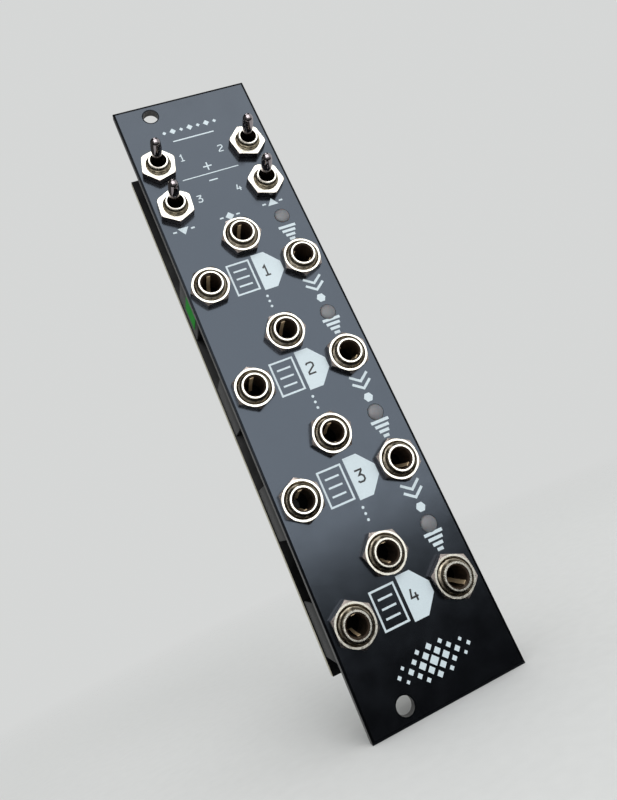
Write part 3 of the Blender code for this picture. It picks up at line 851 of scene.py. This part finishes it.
def jack_sockets():
    nut = nut_mesh("jack_hexagon", flats=7.4, high=JACK_NUT_TOP, hole=2.98, sink=3.36, slope=38)
    thread = jack_bushing_mesh()
    liner = jack_liner_mesh()
    spring = spring_mesh()
    shell = housing_mesh()
    for (column, channel), middle in SOCKETS.items():
        label = f"{column}_{channel}"
        place = (*middle, 0)
        put(f"jack_nut_look_{label}", nut, NUT_LOOKS, place, NUT_TURNS[column][channel - 1],
            replaces=[f"jack_nut_{label}"])
        put(f"jack_thread_{label}", thread, ("nickel", "thread", "bore"), place,
            replaces=[f"jack_bushing_{label}"])
        put(f"jack_shell_{label}", shell, ["housing"], place,
            replaces=[f"jack_housing_{label}"])
        put(f"jack_liner_{label}", liner, ["liner"], place)
        put(f"jack_spring_{label}", spring, ["brass"], place, SPRING_TURNS[column])


# Toggle switches

LEVER_TILT = -12


def toggle_body_parts():
    """A switch's threaded bushing, the steel bracket over its case, and the case."""
    low, high = node_box("toggle_body_1")
    half_x, half_y = half_sizes(low, high)
    front, top = HOUSING_HIGH.z, high.z
    bushing, bracket, case = Shape(), Shape(), Shape()
    lip = [(1.72, top), (1.96, top), (2.03, top - 0.06), (2.05, top - 0.24), (1.92, top - 0.28),
           (1.92, top - 0.36)]
    thread = threaded(top - 0.38, front - 0.1, TOGGLE_THREAD, 2.16, 1.1)
    wall = [(1.3, front - 0.1), (1.66, front + 1.0), (1.66, top - 0.9), (1.66, top - 0.1)]
    bands = [0, 0, 0, 1, 1, 1] + [1] * len(thread) + [2, 2, 2, 0, 0]
    turned(bushing, lip + thread + wall, 72, bands, closed=True)
    box(bracket, (-half_x, -half_y + 0.6, front - 0.7), (half_x, half_y - 0.6, front))
    for side in (-1, 1):
        left, right = sorted((side * half_x, side * (half_x - 0.35)))
        box(bracket, (left, -half_y + 0.6, low.z + 3.4), (right, half_y - 0.6, front - 0.7))
    box(case, (-half_x + 0.37, -half_y, low.z), (half_x - 0.37, half_y, front - 0.72))
    collar = smooth(bushing.mesh("toggle_thread"), 28)
    return collar, bracket.mesh("toggle_bracket"), case.mesh("toggle_case")


def lever_mesh():
    """The bat lever, along z from its pivot."""
    tip_radius, neck_radius, ball_radius, length = 1.06, 0.9, 1.3, 6.97
    shape = Shape()
    angles = [math.radians(degrees) for degrees in range(10, 91, 10)]
    tip = [(tip_radius * math.sin(a), length - tip_radius * (1 - math.cos(a))) for a in angles]
    neck = [(1.12, 5.4), (1.15, 4.9), (1.13, 4.2), (1.06, 3.4), (0.97, 2.6), (0.91, 2.0), (neck_radius, 1.3)]
    start = math.acos(neck_radius / ball_radius)
    angles = [start - step * 0.22 for step in range(9)]
    ball = [(ball_radius * math.cos(a), ball_radius * math.sin(a)) for a in angles]
    tail = [(0.6, -1.25), (0.6, -2.3), (0.5, -2.4), (0, -2.4)]
    turned(shape, [(0, length)] + tip + neck + ball + tail, 48)
    return smooth(shape.mesh("lever"), 45)


def toggle_switches():
    thread, bracket, case = toggle_body_parts()
    nut = nut_mesh("toggle_hexagon", flats=6.8, high=TOGGLE_NUT_TOP, hole=2.5, sink=2.62, slope=30)
    lever = lever_mesh()
    joints = {joint["child"]: joint for joint in frame["joints"]}
    for number, middle in zip(CHANNELS, TOGGLES):
        place = (*middle, 0)
        put(f"toggle_nut_look_{number}", nut, NUT_LOOKS, place, NUT_TURNS["toggle"][number - 1],
            replaces=[f"toggle_nut_{number}"])
        put(f"toggle_thread_{number}", thread, ("nickel", "toggle_thread", "bore"), place)
        bevelled(put(f"toggle_bracket_{number}", bracket, ["steel"], place), 0.08)
        bevelled(put(f"toggle_case_{number}", case, ["case"], place,
                     replaces=[f"toggle_body_{number}"]), 0.2)
        pivot = TO_PANEL @ Vector(joints[f"lever_{number}"]["pos_m"]) / MM
        put(f"lever_look_{number}", lever, ["lever"], pivot, tilt=LEVER_TILT,
            body=f"lever_{number}", replaces=[f"toggle_lever_{number}"])


# Indicator lights

PIN_PITCH = 2.54


def indicator_lights():
    """Frosted domes with a flange behind the panel and one on the board, and their legs."""
    reach, radius = LIGHT_REACH, 1.55
    back = reach - 5.2
    dome = [(radius * math.sin(math.radians(t)), reach * math.cos(math.radians(t))) for t in range(8, 91, 8)]
    barrel = [(radius, -0.12), (1.72, -0.2), (1.72, -1.2), (radius, -1.3), (radius, back + 1.0),
              (1.9, back + 0.95), (1.9, back), (0, back)]
    shape, legs = Shape(), Shape()
    turned(shape, [(0, reach)] + dome + barrel, 48)
    lens = smooth(shape.mesh("light_lens"), 40)
    for x in (-PIN_PITCH / 2, PIN_PITCH / 2):
        box(legs, (x - 0.25, -0.25, BOARD_LOW.z - 0.9), (x + 0.25, 0.25, back + 0.05))
    wires = legs.mesh("light_legs")
    for number, middle in zip(CHANNELS, LIGHTS):
        place = (*middle, 0)
        put(f"light_lens_{number}", lens, ["lens"], place,
            replaces=[f"indicator_light_{number}"])
        put(f"light_legs_{number}", wires, ["solder"], place)


# Circuit board

BACK_PARTS = ("power_header", "amplifier_chip", "buffer_chip_1", "buffer_chip_2", "capacitor_1",
              "capacitor_2")


def board_piece():
    plate = Shape()
    box(plate, BOARD_LOW, BOARD_HIGH)
    mesh = carved("board_plate", bevelled(lump("board_blank", plate), 0.1))
    plate_piece("board_plate", mesh, ("board", "laminate"), "main_board")


def solder_joints():
    """Solder on the back of the board where pins come through."""
    places = []
    for x, y in SOCKETS.values():
        places += [(x, y + 4.4, 0.75), (x - 1.6, y - 3.4, 0.75), (x + 1.6, y - 4.3, 0.75)]
    for (x, y), (light_x, light_y) in zip(TOGGLES, LIGHTS):
        places += [(x, y + shift, 0.7) for shift in (-PIN_PITCH, 0, PIN_PITCH)]
        places += [(light_x + shift, light_y, 0.55) for shift in (-PIN_PITCH / 2, PIN_PITCH / 2)]
    shape = Shape()
    for x, y, radius in places:
        cone = [(0, 0.75), (0.16, 0.74), (0.24, 0.6), (0.32, 0.4), (0.5 * radius + 0.14, 0.2),
                (radius * 0.9, 0.07), (radius, 0.0), (0, 0)]
        turned(shape, cone, 20, centre=(-x, y))
    put("solder_joints", smooth(shape.mesh("solder_joints", 0), 50), ["solder"], base=BACK)


def board_part(node):
    """A CAD node's place on the back of the board, half sizes, depth and height over the board."""
    low, high = node_box(node)
    place = (-(low.x + high.x) / 2, (low.y + high.y) / 2, 0.0)
    return place, *half_sizes(low, high), high.z - low.z, BOARD_LOW.z - low.z


def power_header():
    """A keyed shroud round two rows of gold pins."""
    place, half_x, half_y, depth, top = board_part("power_header")
    wall, bottom = 1.1, top - depth + 2.4
    shell, cavity, key, pins = Shape(), Shape(), Shape(), Shape()
    box(shell, (-half_x, -half_y, top - depth), (half_x, half_y, top))
    box(cavity, (-half_x + wall, -half_y + wall, bottom), (half_x - wall, half_y - wall, top + 1))
    # The key is on the side that faces away from the inputs
    box(key, (-half_x - 1, -2.25, top - 6.2), (-half_x + 1.3, 2.25, top + 1))
    mesh = carved("power_shroud", bevelled(lump("shroud_blank", shell), 0.15), cavity, key)
    put("power_shroud", smooth(mesh, 40), ["header"], place, base=BACK,
        replaces=["power_header"])
    half, tip, rise = 0.32, 0.16, bottom + 5.35
    for column in (-1, 1):
        for row in range(-2, 3):
            x, y = column * PIN_PITCH / 2, row * PIN_PITCH
            box(pins, (x - half, y - half, bottom - 1.5), (x + half, y + half, rise))
            points = [(x + a * size, y + b * size, z) for size, z in ((half, rise), (tip, rise + 0.45))
                      for a, b in ((-1, -1), (1, -1), (1, 1), (-1, 1))]
            pins.add(points, [(0, 1, 5, 4), (1, 2, 6, 5), (2, 3, 7, 6), (3, 0, 4, 7), (4, 5, 6, 7)])
    put("power_pins", pins.mesh("power_pins", 0), ["gold"], place, base=BACK)


def chip_piece(node, leads):
    """A moulded package with bent leads along its two long sides and a dimple at its first pin."""
    place, half_x, half_y, depth, top = board_part(node)
    middle = top - depth * 0.5
    inset = 0.18
    wide = [(-half_x, -half_y), (half_x, -half_y), (half_x, half_y), (-half_x, half_y)]
    narrow = [(x - math.copysign(inset, x), y - math.copysign(inset, y)) for x, y in wide]
    sides = [(i, (i + 1) % 4, 4 + (i + 1) % 4, 4 + i) for i in range(4)] + [(4, 5, 6, 7)]
    body, pins, dot = Shape(), Shape(), Shape()
    for end, faces in ((top, sides), (top - depth, [side[::-1] for side in sides])):
        body.add([(x, y, middle) for x, y in wide] + [(x, y, end) for x, y in narrow], faces)
    package = f"{node}_package"
    bevelled(put(package, body.mesh(package), ["chip"], place, base=BACK,
                 replaces=[node]), 0.06)
    half, thick = 0.2, 0.16
    path = [(0, middle), (0.45, middle), (0.75, 0.12), (1.35, 0.06)]
    section = ((-half, 0), (half, 0), (half, thick), (-half, thick))
    sides = [(0, 4, 5, 1), (1, 5, 6, 2), (2, 6, 7, 3), (3, 7, 4, 0), (4, 7, 6, 5), (0, 1, 2, 3)]
    for side in (-1, 1):
        faces = sides if side > 0 else [face[::-1] for face in sides]
        for index in range(leads):
            y = (index - (leads - 1) / 2) * PIN_PITCH / 2
            for step in zip(path, path[1:]):
                points = [(side * (half_x - 0.02 + along), y + across, z + up)
                          for along, z in step for across, up in section]
                pins.add(points, faces)
    put(f"{node}_leads", pins.mesh(f"{node}_leads", 0), ["solder"], place, base=BACK)
    dimple = [(0, top + 0.005), (0.42, top + 0.005), (0.42, top - 0.05), (0, top - 0.05)]
    turned(dot, dimple, 24, centre=(half_x - 0.95, half_y - 1.0))
    put(f"{node}_dimple", dot.mesh(f"{node}_dimple"), ["case"], place, base=BACK)


def capacitor_piece(node):
    """An aluminium can with a dark mark on its top, on a moulded foot with two corners cut."""
    place, half, _, depth, top = board_part(node)
    foot = top - depth + 1.1
    edge = half - 1.0
    base, can, mark = Shape(), Shape(), Shape()
    outline = [(-half, -half), (edge, -half), (half, -edge), (half, edge), (edge, half), (-half, half)]
    slab(base, outline, top - depth, foot)
    bevelled(put(f"{node}_foot", base.mesh(f"{node}_foot"), ["case"], place, base=BACK), 0.1)
    profile = [(0, top - 0.02), (2.6, top - 0.02), (2.72, top), (2.85, top), (3.05, top - 0.12),
               (3.15, top - 0.35), (3.15, foot + 1.0), (3.02, foot + 0.85), (3.02, foot + 0.6),
               (3.15, foot + 0.45), (3.15, foot), (0, foot)]
    turned(can, profile, 64)
    put(f"{node}_can", smooth(can.mesh(f"{node}_can"), 30), ["can"], place, base=BACK,
        replaces=[node])
    arc = [(2.55 * math.cos(math.radians(a)), 2.55 * math.sin(math.radians(a))) for a in range(125, 236, 10)]
    slab(mark, arc, top - 0.03, top)
    put(f"{node}_mark", mark.mesh(f"{node}_mark", 0), ["dark_ink"], place, base=BACK)


def small_parts():
    """Small resistors and capacitors in a loose grid on the back of the board, clear of the rest."""
    dice = random.Random(7)
    taken = []
    for node in BACK_PARTS:
        low, high = node_box(node)
        taken.append((low.x - 2.2, low.y - 1.4, high.x + 2.2, high.y + 1.4))
    for x, y in SOCKETS.values():
        taken += [(x - 1.5, y + 3.2, x + 1.5, y + 5.6), (x - 2.9, y - 5.5, x + 2.9, y - 2.2)]
    taken += [(x - 1.5, y - 3.8, x + 1.5, y + 3.8) for x, y in TOGGLES]
    taken += [(x - 2.4, y - 1.2, x + 2.4, y + 1.2) for x, y in LIGHTS]
    rows, columns, row_pitch, column_pitch = 34, 8, 3.15, 3.45
    empty_share, upright_share, ceramic_share = 0.38, 0.5, 0.45
    long_half, short_half, body_half, rise = 0.8, 0.4, 0.5, 0.45
    resistors, ceramics, ends = Shape(), Shape(), Shape()
    for row in range(rows):
        for column in range(columns):
            x = (column - (columns - 1) / 2) * column_pitch
            y = (row - (rows - 1) / 2) * row_pitch
            if dice.random() < empty_share:
                continue
            upright = dice.random() < upright_share
            reach_x, reach_y = (short_half, long_half) if upright else (long_half, short_half)
            if any(a < x + reach_x and x - reach_x < c and b < y + reach_y and y - reach_y < d
                   for a, b, c, d in taken):
                continue
            body = ceramics if dice.random() < ceramic_share else resistors
            for shape, start, end in ((body, -body_half, body_half), (ends, -long_half, -body_half),
                                      (ends, body_half, long_half)):
                if upright:
                    box(shape, (-x - short_half, y + start, 0.0), (-x + short_half, y + end, rise))
                else:
                    box(shape, (-x + start, y - short_half, 0.0), (-x + end, y + short_half, rise))
    put("resistor_bodies", resistors.mesh("resistor_bodies", 0), ["chip"], base=BACK)
    put("ceramic_bodies", ceramics.mesh("ceramic_bodies", 0), ["laminate"], base=BACK)
    put("part_ends", ends.mesh("part_ends", 0), ["solder"], base=BACK)


def green_mark():
    """A plain patch on the side of one input socket's body."""
    x, y = SOCKETS["in", 1]
    side = x + (HOUSING_LOW.x - HOUSING_HIGH.x) / 2
    shape = Shape()
    box(shape, (side - 0.12, y - 3.9, -9.0), (side - 0.01, y + 1.3, -2.6))
    bevelled(put("green_mark", shape.mesh("green_mark"), ["green"]), 0.04)


# Stage, in world millimetres

CARD_LEVEL = PANEL_LOW.z / MM + 0.15


def floor():
    """A pale round floor that fades into the backdrop."""
    shape = Shape()
    turned(shape, [(0, 0), (900, 0)], 64)
    made = lump("floor", shape)
    made.location = (0, 0, PANEL_LOW.z)
    look = Look("floor_paper", (0.80, 0.805, 0.80), 0.9)
    look.value("Specular IOR Level", 0.0)
    look.mottle(look.noise(0.4, 3), (0.79, 0.795, 0.79), (0.81, 0.815, 0.81))
    look.fade(look.ramp(look.radius(), 0, 1, 120 * MM, 280 * MM))
    made.data.materials.append(look.material)


def world():
    """An even, pale surround."""
    made = bpy.data.worlds.new("studio")
    made.use_nodes = True
    bpy.context.scene.world = made
    made.node_tree.nodes["Background"].inputs["Color"].default_value = (0.67, 0.68, 0.675, 1)
    made.node_tree.nodes["Background"].inputs["Strength"].default_value = 1.0


def lamp(name, low, high, radiance, lights=True):
    """A soft upright lamp in front of the panel, between two corners.  One that lights nothing is
    seen in reflections alone."""
    light = bpy.data.lights.new(name, "AREA")
    light.shape = "RECTANGLE"
    light.size, light.size_y = (high[0] - low[0]) * MM, (high[2] - low[2]) * MM
    light.energy = radiance * math.pi * light.size * light.size_y
    made = linked(name, light)
    made.location = (Vector(low) + Vector(high)) / 2 * MM
    made.rotation_euler = (math.pi / 2, 0, 0)
    made.visible_camera = False
    made.visible_diffuse = lights


def lamp_down(name, place, size, radiance):
    """A soft round lamp over the module."""
    light = bpy.data.lights.new(name, "AREA")
    light.shape = "DISK"
    light.size = size * MM
    light.energy = radiance * math.pi * math.pi / 4 * light.size * light.size
    made = linked(name, light)
    made.location = Vector(place) * MM
    made.visible_camera = False


def dark_card(name, corners, fade_axis, fade_from, fade_to):
    """A black card that only reflections see.  It fades out along one axis."""
    made = bpy.data.meshes.new(name)
    made.from_pydata([[value * MM for value in corner] for corner in corners], [], [(0, 1, 2, 3)])
    card = linked(name, made)
    look = Look(name, (0.004, 0.004, 0.005), 0.9)
    look.value("Specular IOR Level", 0.0)
    look.fade(look.ramp(look.split()[fade_axis], 0, 1, fade_from * MM, fade_to * MM))
    made.materials.append(look.material)
    card.visible_camera = card.visible_diffuse = card.visible_shadow = card.visible_transmission = False


def camera():
    """The camera at the photograph's angle."""
    data = bpy.data.cameras.new("camera")
    made = linked("camera", data)
    longest = max(PHOTO_SIZE)
    data.sensor_width = SENSOR
    data.lens = FOCAL_PIXELS * SENSOR / longest
    data.shift_x = (PHOTO_SIZE[0] / 2 - CENTRE_PIXEL[0]) / longest
    data.shift_y = (CENTRE_PIXEL[1] - PHOTO_SIZE[1] / 2) / longest
    data.clip_start = 0.002
    made.location = Vector(CAMERA_PLACE) * MM
    made.rotation_euler = Euler([math.radians(angle) for angle in CAMERA_ANGLES])
    bpy.context.scene.camera = made


front_panel()
printed_marks()
jack_sockets()
toggle_switches()
indicator_lights()
board_piece()
solder_joints()
power_header()
chip_piece("amplifier_chip", 8)
chip_piece("buffer_chip_1", 7)
chip_piece("buffer_chip_2", 7)
capacitor_piece("capacitor_1")
capacitor_piece("capacitor_2")
small_parts()
green_mark()

floor()
world()
lamp("key", (-10, -320, -118), (205, -320, 325), 2.1)
dark_card("floor_card", [(-500, -1.8, CARD_LEVEL), (-500, -900, CARD_LEVEL), (500, -900, CARD_LEVEL),
                         (500, -1.8, CARD_LEVEL)], 1, -40, -300)
dark_card("side_card", [(-170, -318, -124), (-170, -318, 300), (-170, 260, 300), (-170, 260, -124)],
          0, -190, 0)
dark_card("top_card", [(-260, -250, 345), (-260, 320, 345), (260, 320, 345), (260, -250, 345)],
          1, 0, 1500)
lamp("front", (-300, -321, -118), (-10, -321, 300), 2.8, False)
lamp_down("top", (40, -60, 330), 150, 3.5)
camera()

bpy.context.scene.view_settings.view_transform = "Standard"
